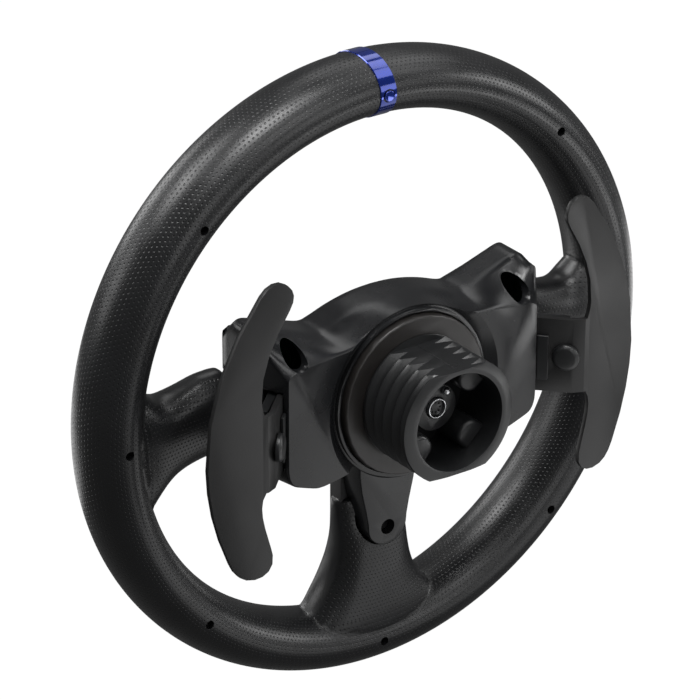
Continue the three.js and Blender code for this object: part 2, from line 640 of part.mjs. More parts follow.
// ---------------------------------------------------------------- connector
function connector() {
  const [sx, sz] = EARTH_SCREW;
  const body = bar(CARRIER_R, CUP_TOP + GAP * 2, CARRIER_TOP, 0, 0, 28);
  const pocket = bar(SOCKET_R + GAP, 44, 60, 0, 0, 24);
  const screwHole = bar(1.1, 47, 60, sx, sz, 12);
  piece("connector_carrier", minus(body, pocket, screwHole), collarPlastic);
  const inside = SOCKET_R - 0.5;
  const can = turned([[SOCKET_R, 44.3], [SOCKET_R, 54], [inside, 54], [inside, 44.3]], 24);
  piece("connector_shell", can, steel);
  piece("connector_insert", bar(inside - GAP, 44.3, 52.8, 0, 0, 20), collarPlastic);
  const ball = new THREE.SphereGeometry(1.9, 12, 6);
  const head = solid(ball).translate([sx, CARRIER_TOP + 0.9, sz]);
  const dome = minus(head, bar(4, 40, CARRIER_TOP + 0.2, sx, sz, 8));
  piece("earth_screw", union(dome, bar(0.8, 47.5, CARRIER_TOP + 1, sx, sz, 10)), steel);
}

// ---------------------------------------------------------------- fasteners
function fasteners() {
  SIDES.forEach(([side, place]) => {
    const head = bar(3.4, WELL_FLOOR + GAP, WELL_FLOOR + 3, WELL_X, WELL_Z, 14);
    const shank = bar(1.4, 2.9, WELL_FLOOR + 1, WELL_X, WELL_Z, 8);
    piece(side + "_housing_screw", place(union(head, shank)), blackSteel);
  });
  const head = bar(3, LEG_TOP_Y - 7 + GAP, LEG_TOP_Y - 4, 0, LEG_HOLE_Z, 14);
  const shank = bar(1.5, FRAME_FRONT + 1, LEG_TOP_Y - 5, 0, LEG_HOLE_Z, 8);
  piece("leg_screw", union(head, shank), blackSteel);
}

// ---------------------------------------------------------------- paddles
// The blade's inner edge has a long scoop above and below the tab. Right-hand blade.
function bladeShape() {
  const s = new THREE.Shape();
  s.moveTo(82, -17.2);
  s.bezierCurveTo(84.6, -20, 84.4, -26, 82.6, -33);
  s.bezierCurveTo(81.2, -38.5, 80, -42, 79.2, -46);
  s.bezierCurveTo(78.2, -52.5, 82.6, -55.6, 87.6, -55.4);
  s.bezierCurveTo(93.6, -55, 96.4, -51.5, 98.6, -46);
  s.bezierCurveTo(105.6, -29, 108.2, -15, 108.3, -1);
  s.bezierCurveTo(108.3, 28, 98.6, 50, 83.4, 70.4);
  s.bezierCurveTo(80.4, 74.6, 75.4, 76.2, 71.6, 73);
  s.bezierCurveTo(68.2, 70, 68.2, 66.4, 70.6, 62.4);
  s.bezierCurveTo(79, 49, 84, 38, 83.8, 25);
  s.bezierCurveTo(83.8, 22, 83, 19, 82, 17.2);
  return s;
}

// Where the tab's rear face runs, from inside the hub out to the blade, as [x, y].
const TAB_REAR = [[62.4, 33.1], [76.3, 47], [80.9, 48.95], [83.2, 48.75]];

function blade() {
  const flat = prism(bladeShape(), BLADE_Y - BLADE_T, BLADE_Y, 4);
  const lean = flat.warp((v) => {
    v[1] -= BLADE_LEAN * (v[0] - 77);
  });
  const front = TAB_REAR.map(([x, y], i) =>
    i < 2 ? [x + BLADE_T * 0.707, y - BLADE_T * (i ? 0.8 : 0.707)] : [x + 0.5, y - BLADE_T]);
  const tab = column([...TAB_REAR, ...front.reverse()], -TAB_HALF, TAB_HALF);
  const screwHole = turnedToTab(bar(2.2, -6, 6, 0, 0, 16));
  return minus(union(lean, tab), screwHole);
}

// Moves a piece drawn along Y about the origin to the paddle screw's place on the tab.
const turnedToTab = (body) =>
  body.rotate([0, 0, 45]).translate([SCREW_X, SCREW_X - TAB_SLOPE, 0]);

// A barrel on the pin, a finger that presses the switch, and a shoe that backs the tab.
function lever() {
  const barrel = post(BARREL_R, -14.6, 5.4, PIVOT_X, PIVOT_Y, 12);
  const arm = column([[PIVOT_X, 25.6], [63.6, 25.6], [63.6, 30], [61, 30.2], [PIVOT_X, 33.4]],
    -14.6, 5.4);
  const finger = column([[46.4, 27], [PIVOT_X, 26], [PIVOT_X, 31], [54, 30.4], [46.4, 29.8]], -4, 4);
  const shoe = column([[61.9, 25.6], [64, 25.2], [79.6, 40.6], [77.4, 43], [63.9, 30.6],
    [61.9, 28.8]], -16, 16);
  const pinHole = post(PIVOT_PIN_R + 0.15, -20, 20, PIVOT_X, PIVOT_Y, 12);
  return minus(union(barrel, arm, finger, shoe), pinHole, turnedToTab(bar(1.9, -5, 2, 0, 0, 12)));
}

function returnSpring() {
  const turns = 3;
  const helix = new THREE.Curve();
  helix.getPoint = (t) => {
    const a = 2 * Math.PI * turns * t;
    return new THREE.Vector3(PIVOT_X + 2.9 * Math.cos(a), PIVOT_Y + 2.9 * Math.sin(a), 6.6 + 7.4 * t);
  };
  const wire = polygon([[0.5, 0], [0, 0.5], [-0.5, 0], [0, -0.5]]);
  const options = { steps: turns * 8, bevelEnabled: false, extrudePath: helix };
  return solid(new THREE.ExtrudeGeometry(wire, options));
}

function paddles() {
  const strip = column([[65.1, 36.3], [68.6, 39.8], [67.7, 40.7], [64.3, 37.3]], -11, 9.5);
  const head = turnedToTab(turned([[0, 0.3], [6, 0.3], [6, 2], [4.6, 3.1], [0, 3.6]], 20));
  const shank = turnedToTab(bar(1.5, -4.8, 1, 0, 0, 12));
  const pin = post(PIVOT_PIN_R, -19, 19, PIVOT_X, PIVOT_Y, 12);
  const switchBody = block(46.2, 53.2, 31.4, 35.2, -6.5, 6.5);
  const plunger = block(47, 49.2, 30.7, 31.6, -1.4, 1.4);
  SIDES.forEach(([side, place]) => {
    piece(side + "_paddle", place(blade()), paddleMetal);
    piece(side + "_paddle_lever", place(lever()), collarPlastic);
    piece(side + "_paddle_clamp", place(strip), collarPlastic);
    piece(side + "_paddle_screw", place(union(head, shank)), collarPlastic);
    piece(side + "_hinge_pin", place(pin), steel);
    piece(side + "_return_spring", place(returnSpring()), steel);
    piece(side + "_microswitch", place(union(switchBody, plunger)), blackSteel);
  });
}

// ---------------------------------------------------------------- assembly
rim();
markerBand();
spokeFrame();
rearShell();
frontShell();
centreCap();
buttons();
directionPad();
electronics();
flangeDisc();
collar();
connector();
fasteners();
paddles();

wheel.position.y = -COLLAR_END;
const assembly = new THREE.Group();
assembly.add(wheel);
export default assembly;
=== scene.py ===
"""A detachable racing wheel: surfaces, materials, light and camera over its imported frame.

Metres, in the frame of the CAD: the origin is the centre of the collar's rear face, +Y is the
spin axis out of the collar, and +Z is up. The rim's centre is RIM_Y along the axis.
"""
import json
import math

import bmesh
import bpy
import numpy as np
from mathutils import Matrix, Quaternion, Vector


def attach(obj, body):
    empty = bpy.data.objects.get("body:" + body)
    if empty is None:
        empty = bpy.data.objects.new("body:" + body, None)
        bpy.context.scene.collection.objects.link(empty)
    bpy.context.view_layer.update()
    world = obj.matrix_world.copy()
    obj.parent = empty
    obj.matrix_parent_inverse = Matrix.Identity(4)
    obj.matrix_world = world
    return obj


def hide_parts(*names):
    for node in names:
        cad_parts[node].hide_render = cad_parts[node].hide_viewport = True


MM = 0.001

# ---------------------------------------------------------------- dimensions, in millimetres
RIM_Y = -69.4  # the rim's plane, from the collar's rear face
RIM_R = 127.0  # spin axis to the middle of the grip's section
GRIP_A = 13.0  # half the grip's section across the rim
GRIP_B = 17.9  # half the grip's section along the spin axis
PIN_HOLES = 7  # along the rear crest, with a gap where the band is
PIN_HOLE_R = 2.0
PIN_HOLE_DEPTH = 6.0
BAND_HALF = 4.0
BAND_PROUD = 0.5
BAND_RECESS_R = 2.9
BAND_RECESS_DEPTH = 0.9
DIMPLES_ROUND = 376  # dimples in one row round the rim
DIMPLES_ACROSS = 54  # rows round the grip's section
DIMPLE_STEP = 1.8  # spacing of the dimples on the spokes

COLLAR_R = 27.5
COLLAR_ROOT_R = 24.4
COLLAR_BORE_R = 21.6
COLLAR_FOOT = -30.0
COLLAR_FOOT_R = 23.9
COLLAR_BACK = -36.8
COLLAR_FLAT = 23.5  # spin axis to each flat
CENTRE_HOLE_R = 10.8  # through the collar's inner ledge and the lug insert
END_FACE_R = 24.2
CONE_DROP = 1.1  # height of the shallow cone round the end face
LEDGE = -34.4  # inner ledge that the lug insert lies on
THREAD_PITCH = 6.2
THREAD_TURNS = 6  # as many as fill the sleeve, with some to spare
PAST_COLLAR = 40  # where cuts along the collar end

INSERT_TOP = -28.4  # the bore's floor, which the lugs stand on
LUGS = 4
LUG_R = 16.6  # spin axis to where a lug starts to narrow
LUG_HALF = 6.1  # half a lug's width
LUG_NOSE = 4.4  # its rounded part, towards the axis
LUG_REACH = 20.9  # spin axis to a lug's outer end

CONTACTS = 7
CONTACT_RING_R = 2.35
CONTACT_R = 0.42
CONTACT_ENDS = (-17, -16.2)

# Of the hub. Depths are behind the rim's plane.
HUB_TOP = 39.0
HUB_HALF_WIDE = 70.0
SEAM_DEPTH = 0.15
SEAM_DROP = 5.6  # the outline is this much lower at the seam
FULL_DEPTH = 6  # the outline has its full height from here
SLOPE_START = 20
SLOPE_MIDDLE = 28
REAR_EDGE = 37.4
HUB_DEPTH = 38
EDGE_INSET = 0.5  # the rear face is smaller by this all round
HUB_EDGE_R = 0.5
WELL_PLACE = (57, 31)
WELL_R = 5
WELL_FLOOR = 7
SLOT_START = 45.5  # each paddle's tab comes out from here
SLOT_DEPTHS = (24.5, 35.6)
SLOT_HALF = 17.9
WINDOW_DEPTHS = (-3, 6.5)
WINDOW_HEIGHTS = (-10.5, 4.5)
PAST_HUB = 80  # where cuts through the hub's sides end

LEG_HALF = [(14.6, -28), (14.6, -42), (13.6, -50), (11.3, -60), (10.1, -66.5)]
LEG_END_Z = -68.5
LEG_END_R = 9.9
LEG_GAP = 1.2  # between the leg's end and the rubber round it
LEG_ROOM_DEPTH = 6.3
LEG_HOLE_Z = -70
LEG_HOLE_R = 3.5
LEG_HOLE_DEPTH = 12.5
LEG_SCREW_R = 2.1

# ---------------------------------------------------------------- frame, camera and box
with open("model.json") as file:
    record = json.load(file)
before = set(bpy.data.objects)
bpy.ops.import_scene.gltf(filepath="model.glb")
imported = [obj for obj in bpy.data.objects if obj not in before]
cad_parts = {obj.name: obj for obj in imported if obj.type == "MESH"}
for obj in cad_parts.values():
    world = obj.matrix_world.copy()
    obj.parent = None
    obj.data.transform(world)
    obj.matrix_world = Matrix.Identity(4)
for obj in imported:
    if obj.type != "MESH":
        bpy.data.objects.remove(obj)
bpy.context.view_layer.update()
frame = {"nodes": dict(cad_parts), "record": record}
NODES = frame["nodes"]
WHEEL = "wheel"

CAMERA_PLACE = (0.9076, 1.2027, 0.7550)
CAMERA_LENS = 211.6
CAMERA_SHIFT = (-0.0170, 0.0173)
CAMERA_ROLL = 0.256  # degrees


def camera():
    """Looks at the rim's centre from behind, above and one side."""
    data = bpy.data.cameras.new("camera")
    data.lens = CAMERA_LENS
    data.sensor_width = 36
    data.shift_x, data.shift_y = CAMERA_SHIFT
    cam = bpy.data.objects.new("camera", data)
    bpy.context.scene.collection.objects.link(cam)
    cam.location = CAMERA_PLACE
    aim = Vector((0, RIM_Y * MM, 0)) - cam.location
    roll = Quaternion((0, 0, 1), math.radians(CAMERA_ROLL))
    cam.rotation_mode = "QUATERNION"
    cam.rotation_quaternion = aim.to_track_quat("-Z", "Y") @ roll
    bpy.context.scene.camera = cam


# ---------------------------------------------------------------- materials
class Nodes:
    """A material's node tree, with short calls for what these materials need."""

    def __init__(self, name, color, roughness, metallic=0.0):
        self.material = bpy.data.materials.new(name)
        self.material.use_nodes = True
        self.tree = self.material.node_tree
        self.shader = self.tree.nodes["Principled BSDF"]
        self.shader.inputs["Base Color"].default_value = (*color, 1)
        self.shader.inputs["Roughness"].default_value = roughness
        self.shader.inputs["Metallic"].default_value = metallic
        self.color = color
        self.place = self.add("ShaderNodeTexCoord").outputs["Object"]

    def add(self, kind, **settings):
        node = self.tree.nodes.new(kind)
        for key, value in settings.items():
            setattr(node, key, value)
        return node

    def put(self, socket, value):
        if hasattr(value, "links"):
            self.tree.links.new(value, socket)
        else:
            socket.default_value = value

    def math(self, operation, a, b=0.0):
        node = self.add("ShaderNodeMath", operation=operation)
        self.put(node.inputs[0], a)
        self.put(node.inputs[1], b)
        return node.outputs[0]

    def noise(self, scale, detail=4.0):
        """Noise with this many features to the metre."""
        node = self.add("ShaderNodeTexNoise")
        self.put(node.inputs["Vector"], self.place)
        node.inputs["Scale"].default_value = scale
        node.inputs["Detail"].default_value = detail
        return node.outputs["Fac"]

    def span(self, value, low, high, start=0.3, end=0.7):
        node = self.add("ShaderNodeMapRange")
        self.put(node.inputs["Value"], value)
        node.inputs["From Min"].default_value = start
        node.inputs["From Max"].default_value = end
        node.inputs["To Min"].default_value = low
        node.inputs["To Max"].default_value = high
        return node.outputs["Result"]

    def tint(self, factor, other):
        """The base colour, moving to another one as factor goes from 0 to 1."""
        node = self.add("ShaderNodeMix", data_type="RGBA")
        self.put(node.inputs["Factor"], factor)
        node.inputs["A"].default_value = (*self.color, 1)
        node.inputs["B"].default_value = (*other, 1)
        self.put(self.shader.inputs["Base Color"], node.outputs["Result"])

    def bump(self, height, depth_mm, strength=1.0):
        node = self.add("ShaderNodeBump")
        node.inputs["Strength"].default_value = strength
        node.inputs["Distance"].default_value = depth_mm * MM
        self.put(node.inputs["Height"], height)
        if self.shader.inputs["Normal"].links:
            self.put(node.inputs["Normal"], self.shader.inputs["Normal"].links[0].from_socket)
        self.put(self.shader.inputs["Normal"], node.outputs["Normal"])

    def rough(self, value):
        self.put(self.shader.inputs["Roughness"], value)


def moulded(name, color, roughness, grain=0.05, spread=0.06):
    """Moulded plastic: a fine spark-eroded grain, with slight clouding of gloss and colour."""
    m = Nodes(name, color, roughness)
    m.rough(m.span(m.noise(60), roughness - spread, roughness + spread))
    m.tint(m.span(m.noise(35), 0, 1), [c * 1.35 + 0.002 for c in color])
    m.bump(m.noise(2600, 2), grain)
    return m.material


def painted(name, color, roughness, metallic):
    """Powder-coated sheet metal: fine orange peel and faint rubbed patches."""
    m = Nodes(name, color, roughness, metallic)
    m.rough(m.span(m.noise(45), roughness - 0.05, roughness + 0.07))
    m.tint(m.span(m.noise(28), 0, 1), [c * 1.2 for c in color])
    m.bump(m.noise(1500, 2), 0.03)
    return m.material


def brushed(name, color, roughness):
    """Bare metal, with fine scuffs and a little tarnish."""
    m = Nodes(name, color, roughness, 1.0)
    m.rough(m.span(m.noise(220), roughness - 0.08, roughness + 0.1))
    m.tint(m.span(m.noise(120), 0, 1), [c * 0.7 for c in color])
    m.bump(m.noise(4200, 2), 0.01)
    return m.material


def dimpled(m, along, across):
    """Height of a staggered field of round dimples, 0 in each one's middle and 1 between them."""
    row = m.math("FLOOR", across)
    shift = m.math("MULTIPLY", m.math("MODULO", m.math("ABSOLUTE", row), 2.0), 0.5)
    u = m.math("SUBTRACT", m.math("FRACT", m.math("ADD", along, shift)), 0.5)
    v = m.math("SUBTRACT", m.math("FRACT", across), 0.5)
    squares = m.math("ADD", m.math("MULTIPLY", u, u), m.math("MULTIPLY", v, v))
    return m.span(m.math("SQRT", squares), 0, 1, 0.08, 0.24)


def rim_dimples(m, x, y, z, radius):
    """Rows that run round the rim."""
    turn = m.math("ARCTAN2", x, z)
    off_plane = m.math("SUBTRACT", y, RIM_Y * MM)
    off_middle = m.math("SUBTRACT", radius, RIM_R * MM)
    across = m.math("ARCTAN2", m.math("DIVIDE", off_plane, GRIP_B * MM),
                    m.math("DIVIDE", off_middle, GRIP_A * MM))
    return dimpled(m, m.math("MULTIPLY", turn, DIMPLES_ROUND / math.tau),
                   m.math("MULTIPLY", across, DIMPLES_ACROSS / math.tau))


def spoke_dimples(m, x, z):
    """Straight rows, which fade out on steep sides, where they would stretch into streaks."""
    step = 1 / (DIMPLE_STEP * MM)
    rows = dimpled(m, m.math("MULTIPLY", x, step), m.math("MULTIPLY", z, step))
    normal = m.add("ShaderNodeSeparateXYZ")
    m.put(normal.inputs[0], m.add("ShaderNodeTexCoord").outputs["Normal"])
    facing = m.math("ABSOLUTE", normal.outputs["Y"])
    return m.math("MAXIMUM", rows, m.span(facing, 1, 0, 0.35, 0.6))


def grip_rubber():
    """Black moulded rubber, dimpled along the rim and, in straight rows, over the spokes."""
    m = Nodes("grip_rubber", (0.0075, 0.0075, 0.008), 0.38)
    split = m.add("ShaderNodeSeparateXYZ")
    m.put(split.inputs[0], m.place)
    x, y, z = split.outputs
    radius = m.math("SQRT", m.math("ADD", m.math("MULTIPLY", x, x), m.math("MULTIPLY", z, z)))
    inner = RIM_R - GRIP_A
    mix = m.add("ShaderNodeMix", data_type="FLOAT")
    m.put(mix.inputs["Factor"], m.span(radius, 0, 1, (inner - 1) * MM, (inner + 1) * MM))
    m.put(mix.inputs["A"], spoke_dimples(m, x, z))
    m.put(mix.inputs["B"], rim_dimples(m, x, y, z, radius))
    height = mix.outputs["Result"]
    # Painted shade: the rubber's colour is darkest in each dimple's hollow and lighter on the lands
    # between, by an amount that noise varies.
    m.tint(m.math("MULTIPLY", m.span(m.noise(50), 0.2, 1), height), (0.012, 0.0125, 0.0135))
    m.rough(m.span(m.noise(90), 0.27, 0.36))
    m.bump(height, 0.15, 0.8)
    m.bump(m.noise(2200, 3), 0.035)
    return m.material


def blue_gloss():
    """Blue anodised metal under a clear lacquer."""
    m = Nodes("blue_gloss", (0.003, 0.02, 0.24), 0.12, 0.7)
    m.tint(m.span(m.noise(90), 0, 1), (0.004, 0.03, 0.3))
    m.rough(m.span(m.noise(160), 0.1, 0.16))
    m.bump(m.noise(300, 2), 0.004)
    m.shader.inputs["Coat Weight"].default_value = 1.0
    m.shader.inputs["Coat Roughness"].default_value = 0.04
    return m.material


MATERIALS = {
    "grip_rubber": grip_rubber(),
    "shell_plastic": moulded("shell_plastic", (0.0066, 0.0069, 0.0077), 0.25, 0.02),
    "collar_plastic": moulded("collar_plastic", (0.008, 0.0084, 0.009), 0.33, 0.025),
    "disc_plastic": moulded("disc_plastic", (0.012, 0.0105, 0.0098), 0.38, 0.03),
    "paddle_metal": painted("paddle_metal", (0.0125, 0.0125, 0.0127), 0.38, 0.1),
    "frame_metal": painted("frame_metal", (0.014, 0.014, 0.015), 0.5, 0.3),
    "bright_steel": brushed("bright_steel", (0.72, 0.73, 0.75), 0.22),
    "black_steel": painted("black_steel", (0.02, 0.02, 0.021), 0.27, 0.7),
    "blue_gloss": blue_gloss(),
    "board_green": moulded("board_green", (0.01, 0.06, 0.03), 0.35, 0.02),
    "keypad_silicone": moulded("keypad_silicone", (0.32, 0.34, 0.35), 0.6),
    "button_plastic": moulded("button_plastic", (0.02, 0.021, 0.023), 0.3, 0.015),
    "lead_grey": moulded("lead_grey", (0.4, 0.41, 0.42), 0.5),
}


# ---------------------------------------------------------------- mesh helpers
def new_object(name, mesh, slot, body=WHEEL):
    """A detailed piece with its material, on a body."""
    obj = bpy.data.objects.new(name, mesh)
    bpy.context.scene.collection.objects.link(obj)
    mesh.materials.clear()
    mesh.materials.append(MATERIALS[slot])
    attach(obj, body)
    return obj


def mesh_of(name, points_mm, faces):
    mesh = bpy.data.meshes.new(name)
    mesh.from_pydata([(x * MM, y * MM, z * MM) for x, y, z in points_mm], [], faces)
    mesh.validate()
    return mesh


def grid(rows, round_rows=False, capped=False):
    """Faces over rows of points that each close on themselves, and maybe on the first row."""
    n, count = len(rows[0]), len(rows)
    faces = []
    for r in range(count if round_rows else count - 1):
        for i in range(n):
            j, s = (i + 1) % n, (r + 1) % count
            faces.append((r * n + i, r * n + j, s * n + j, s * n + i))
    if capped:
        faces.append(tuple(reversed(range(n))))
        faces.append(tuple((count - 1) * n + i for i in range(n)))
    return [p for row in rows for p in row], faces


def outward(mesh):
    """The mesh with all its faces turned outward."""
    bm = bmesh.new()
    bm.from_mesh(mesh)
    bmesh.ops.recalc_face_normals(bm, faces=bm.faces)
    bm.to_mesh(mesh)
    bm.free()
    return mesh


def baked(obj):
    """Applies the object's modifiers to its own mesh."""
    graph = bpy.context.evaluated_depsgraph_get()
    mesh = bpy.data.meshes.new_from_object(obj.evaluated_get(graph))
    obj.modifiers.clear()
    obj.data = mesh


def smooth(obj, angle=35):
    """Smooth shading, with creases where faces meet at more than an angle."""
    obj.data.shade_smooth()
    obj.data.set_sharp_from_angle(angle=math.radians(angle))


def tool(name, points_mm, faces):
    """A mesh that only cuts others, and is deleted after that."""
    obj = bpy.data.objects.new(name, outward(mesh_of(name, points_mm, faces)))
    bpy.context.scene.collection.objects.link(obj)
    return obj


def curve(a, b, c, d, t):
    """A smooth way from b to c, which comes from a and goes on to d (Catmull-Rom)."""
    return 0.5 * (2 * b + (c - a) * t + (2 * a - 5 * b + 4 * c - d) * t**2
                  + (3 * b - a - 3 * c + d) * t**3)


def circle(r, y, sides, x=0.0, z=0.0):
    """Points round a line along Y."""
    turns = (i / sides * math.tau for i in range(sides))
    return [(x + r * math.cos(a), y, z + r * math.sin(a)) for a in turns]


def rod(r, y0, y1, x=0.0, z=0.0, sides=32):
    """Points and faces of a round bar along Y."""
    return grid([circle(r, y0, sides, x, z), circle(r, y1, sides, x, z)], capped=True)


def joined(shapes):
    """Several shapes' points and faces as one."""
    points, faces = [], []
    for p, f in shapes:
        base = len(points)
        points += p
        faces += [tuple(base + i for i in face) for face in f]
    return points, faces


def cut(obj, tools):
    """Takes the tools' volume out of an object, one after another, and deletes the tools."""
    for t in tools:
        m = obj.modifiers.new("cut", "BOOLEAN")
        m.operation = "DIFFERENCE"
        m.solver = "EXACT"
        m.object = t
        baked(obj)
        bpy.data.objects.remove(t)


def softened(node, width_mm, segments=3, angle=28):
    """Rounds a CAD node's edges with modifiers, over its own unchanged mesh."""
    obj = NODES[node]
    weld = obj.modifiers.new("weld", "WELD")
    weld.merge_threshold = 0.02 * MM
    flat = obj.modifiers.new("flat", "DECIMATE")
    flat.decimate_type = "DISSOLVE"
    flat.angle_limit = math.radians(1.0)
    bevel = obj.modifiers.new("bevel", "BEVEL")
    bevel.width = width_mm * MM
    bevel.segments = segments
    bevel.limit_method = "ANGLE"
    bevel.angle_limit = math.radians(angle)
    bevel.harden_normals = True
    obj.data.shade_smooth()


# ---------------------------------------------------------------- rim grip
# Rubber over a side spoke, as (x, lowest z, highest z, half depth).
SIDE_SLEEVE = [
    (71.5, -19.5, 17.5, 9.5),
    (82, -20, 17, 10.5),
    (90, -21, 14.8, 11.5),
    (97, -23, 13.2, 12.5),
    (102, -26, 12.8, 13.2),
    (106.5, -30.5, 14.5, 14),
    (111, -36, 18.5, 14.5),
    (119, -40, 22, 15),
]

# Rubber over the lower spoke, as (z, half width, front, rear).
LOWER_SLEEVE = [
    (-58.5, 16.5, -5.5, 10),
    (-66, 17, -6, 12),
    (-76, 17.6, -7, 16),
    (-86, 19, -9, 17),
    (-94, 21.2, -11, 17.2),
    (-100, 24, -12, 17.2),
    (-106, 28, -12.5, 17.2),
    (-114, 34, -11.5, 17.2),
    (-122, 36, -9, 16.8),
]
LIP = [(-58.5, 15.2, -4.2, 9), (-63.5, 15.2, -4.2, 9)]

GRIP_VOXEL = 1.5
GRIP_PASSES = 9  # smoothing passes where the sleeves run into the rim
SETTLE_REACH = 1.4  # points further than this from the plain ring stay where they are
SETTLE_BLEND = 0.8


def between(table, steps):
    """The table's rows with smooth rows added between them."""
    rows = [np.array(r, float) for r in table]
    out = []
    for i in range(len(rows) - 1):
        p0, p1 = rows[max(i - 1, 0)], rows[i]
        p2, p3 = rows[i + 1], rows[min(i + 2, len(rows) - 1)]
        out += [curve(p0, p1, p2, p3, k / steps) for k in range(steps)]
    return [*out, rows[-1]]


def soft_section(mid, half, place, sides=40, power=0.85):
    """A rounded bar's section, squarer than an ellipse."""
    points = []
    for i in range(sides):
        a = (i + 0.5) / sides * math.tau
        c, s = math.cos(a), math.sin(a)
        points.append(place(mid[0] + half[0] * math.copysign(abs(c) ** power, c),
                            mid[1] + half[1] * math.copysign(abs(s) ** power, s)))
    return points


def side_sleeve(sign):
    """Rubber over the side spoke on one side."""
    rows = [soft_section((RIM_Y, (low + high) / 2), (deep, (high - low) / 2),
                         lambda y, z, x=x: (sign * x, y, z))
            for x, low, high, deep in between(SIDE_SLEEVE, 4)]
    return grid(rows, capped=True)


def lower_sleeve(table, steps=4):
    """Rubber over the lower spoke."""
    rows = [soft_section((0, RIM_Y + (front + rear) / 2), (wide, (rear - front) / 2),
                         lambda x, y, z=z: (x, y, z))
            for z, wide, front, rear in between(table, steps)]
    return grid(rows, capped=True)


def plain_ring(sides=40, turns=240):
    """The rim's rubber without its spokes: an oval section swept round the spin axis."""
    angles = [k / sides * math.tau for k in range(sides)]
    section = [(RIM_R + GRIP_A * math.cos(s), GRIP_B * math.sin(s)) for s in angles]
    rows = []
    for i in range(turns):
        t = i / turns * math.tau
        rows.append([(r * math.sin(t), RIM_Y + y, r * math.cos(t)) for r, y in section])
    return grid(rows, round_rows=True)


def settle_on_ring(mesh):
    """Puts the points that lie almost on the plain ring exactly on it, and leaves the flares."""
    count = len(mesh.vertices)
    flat = np.empty(count * 3)
    mesh.vertices.foreach_get("co", flat)
    p = flat.reshape(count, 3) / MM
    radius = np.hypot(p[:, 0], p[:, 2])
    along = p[:, 1] - RIM_Y
    angle = np.arctan2(along / GRIP_B, (radius - RIM_R) / GRIP_A)
    new_radius = RIM_R + GRIP_A * np.cos(angle)
    new_along = GRIP_B * np.sin(angle)
    far = np.hypot(new_radius - radius, new_along - along)
    w = np.clip((SETTLE_REACH - far) / SETTLE_BLEND, 0, 1)
    w = w * w * (3 - 2 * w)
    scale = (radius + (new_radius - radius) * w) / np.maximum(radius, 1e-6)
    p[:, 0] *= scale
    p[:, 2] *= scale
    p[:, 1] += (new_along - along) * w
    mesh.vertices.foreach_set("co", (p * MM).ravel())


def grip_tools():
    """The pin holes, and the room that the hub's leg lies in."""
    top = RIM_Y + GRIP_B
    tools = []
    for i in range(1, PIN_HOLES + 1):
        a = i / (PIN_HOLES + 1) * math.tau
        x, z = RIM_R * math.sin(a), RIM_R * math.cos(a)
        tools.append(tool("hole", *rod(PIN_HOLE_R, top - PIN_HOLE_DEPTH, top + 4, x, z, 28)))
    room = rod(LEG_END_R + LEG_GAP, RIM_Y + LEG_ROOM_DEPTH, RIM_Y + 40, 0, LEG_END_Z, 48)
    tools.append(tool("leg_room", *room))
    return tools


def grip():
    """The rim's rubber and the spokes' in one skin, with soft corners between them."""
    shapes = [plain_ring(), side_sleeve(1), side_sleeve(-1), lower_sleeve(LOWER_SLEEVE),
              lower_sleeve(LIP, 1)]
    mesh = outward(mesh_of("grip_skin", *joined(shapes)))
    obj = new_object("grip_skin", mesh, "grip_rubber")
    remesh = obj.modifiers.new("remesh", "REMESH")
    remesh.mode = "VOXEL"
    remesh.voxel_size = GRIP_VOXEL * MM
    even = obj.modifiers.new("even", "SMOOTH")
    even.factor = 0.5
    even.iterations = GRIP_PASSES
    baked(obj)
    settle_on_ring(obj.data)
    cut(obj, grip_tools())
    smooth(obj, 50)
    obj.data.materials.clear()
    obj.data.materials.append(MATERIALS["grip_rubber"])
    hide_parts("rim_grip")


# ---------------------------------------------------------------- marker band
# Section of the band, as (distance along the rim, height over the rubber).
BAND_SECTION = [(-BAND_HALF, -1.0), (-BAND_HALF, 0.25), (-BAND_HALF + 0.25, BAND_PROUD),
                (BAND_HALF - 0.25, BAND_PROUD), (BAND_HALF, 0.25), (BAND_HALF, -1.0)]
BAND_STEPS = 48
BAND_GAP = 0.006  # half the angle between the two halves, in radians


def half_hoop(start, end):
    """The band's section, swept part of the way round the grip's at the top of the rim."""
    rows = []
    for i in range(BAND_STEPS + 1):
        t = start + (end - start) * i / BAND_STEPS
        c, s = math.cos(t), math.sin(t)
        length = math.hypot(GRIP_B * c, GRIP_A * s)
        out = (GRIP_B * c / length, GRIP_A * s / length)
        rows.append([(x, RIM_Y + GRIP_B * s + up * out[1], RIM_R + GRIP_A * c + up * out[0])
                     for x, up in BAND_SECTION])
    return grid(rows, capped=True)


def band():
    """Both halves of the band, with a recess for the screw in the rear one."""
    for node, turned in (("band_rear", 0), ("band_front", -math.pi)):
        hoop = half_hoop(turned + BAND_GAP, turned + math.pi - BAND_GAP)
        obj = new_object(node + "_skin", outward(mesh_of(node, *hoop)), "blue_gloss")
        if node == "band_rear":
            top = RIM_Y + GRIP_B
            recess = rod(BAND_RECESS_R, top - BAND_RECESS_DEPTH, top + 4, 0, RIM_R, 48)
            cut(obj, [tool("recess", *recess)])
        smooth(obj, 40)
        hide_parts(node)


# ---------------------------------------------------------------- collar
# One pitch of the thread, as (part of the pitch, part of the thread's depth).
THREAD_ROWS = [(0.0, 0.0), (0.04, 0.03), (0.27, 0.5), (0.46, 0.97), (0.54, 0.97), (0.73, 0.5),
               (0.96, 0.03)]
THREAD_PHASE = -28.5  # where a crest crosses the +X side
THREAD_FADE = (1.2, 1.3)  # the thread runs out over these lengths at the foot and at the end
SLEEVE_SIDES = 240

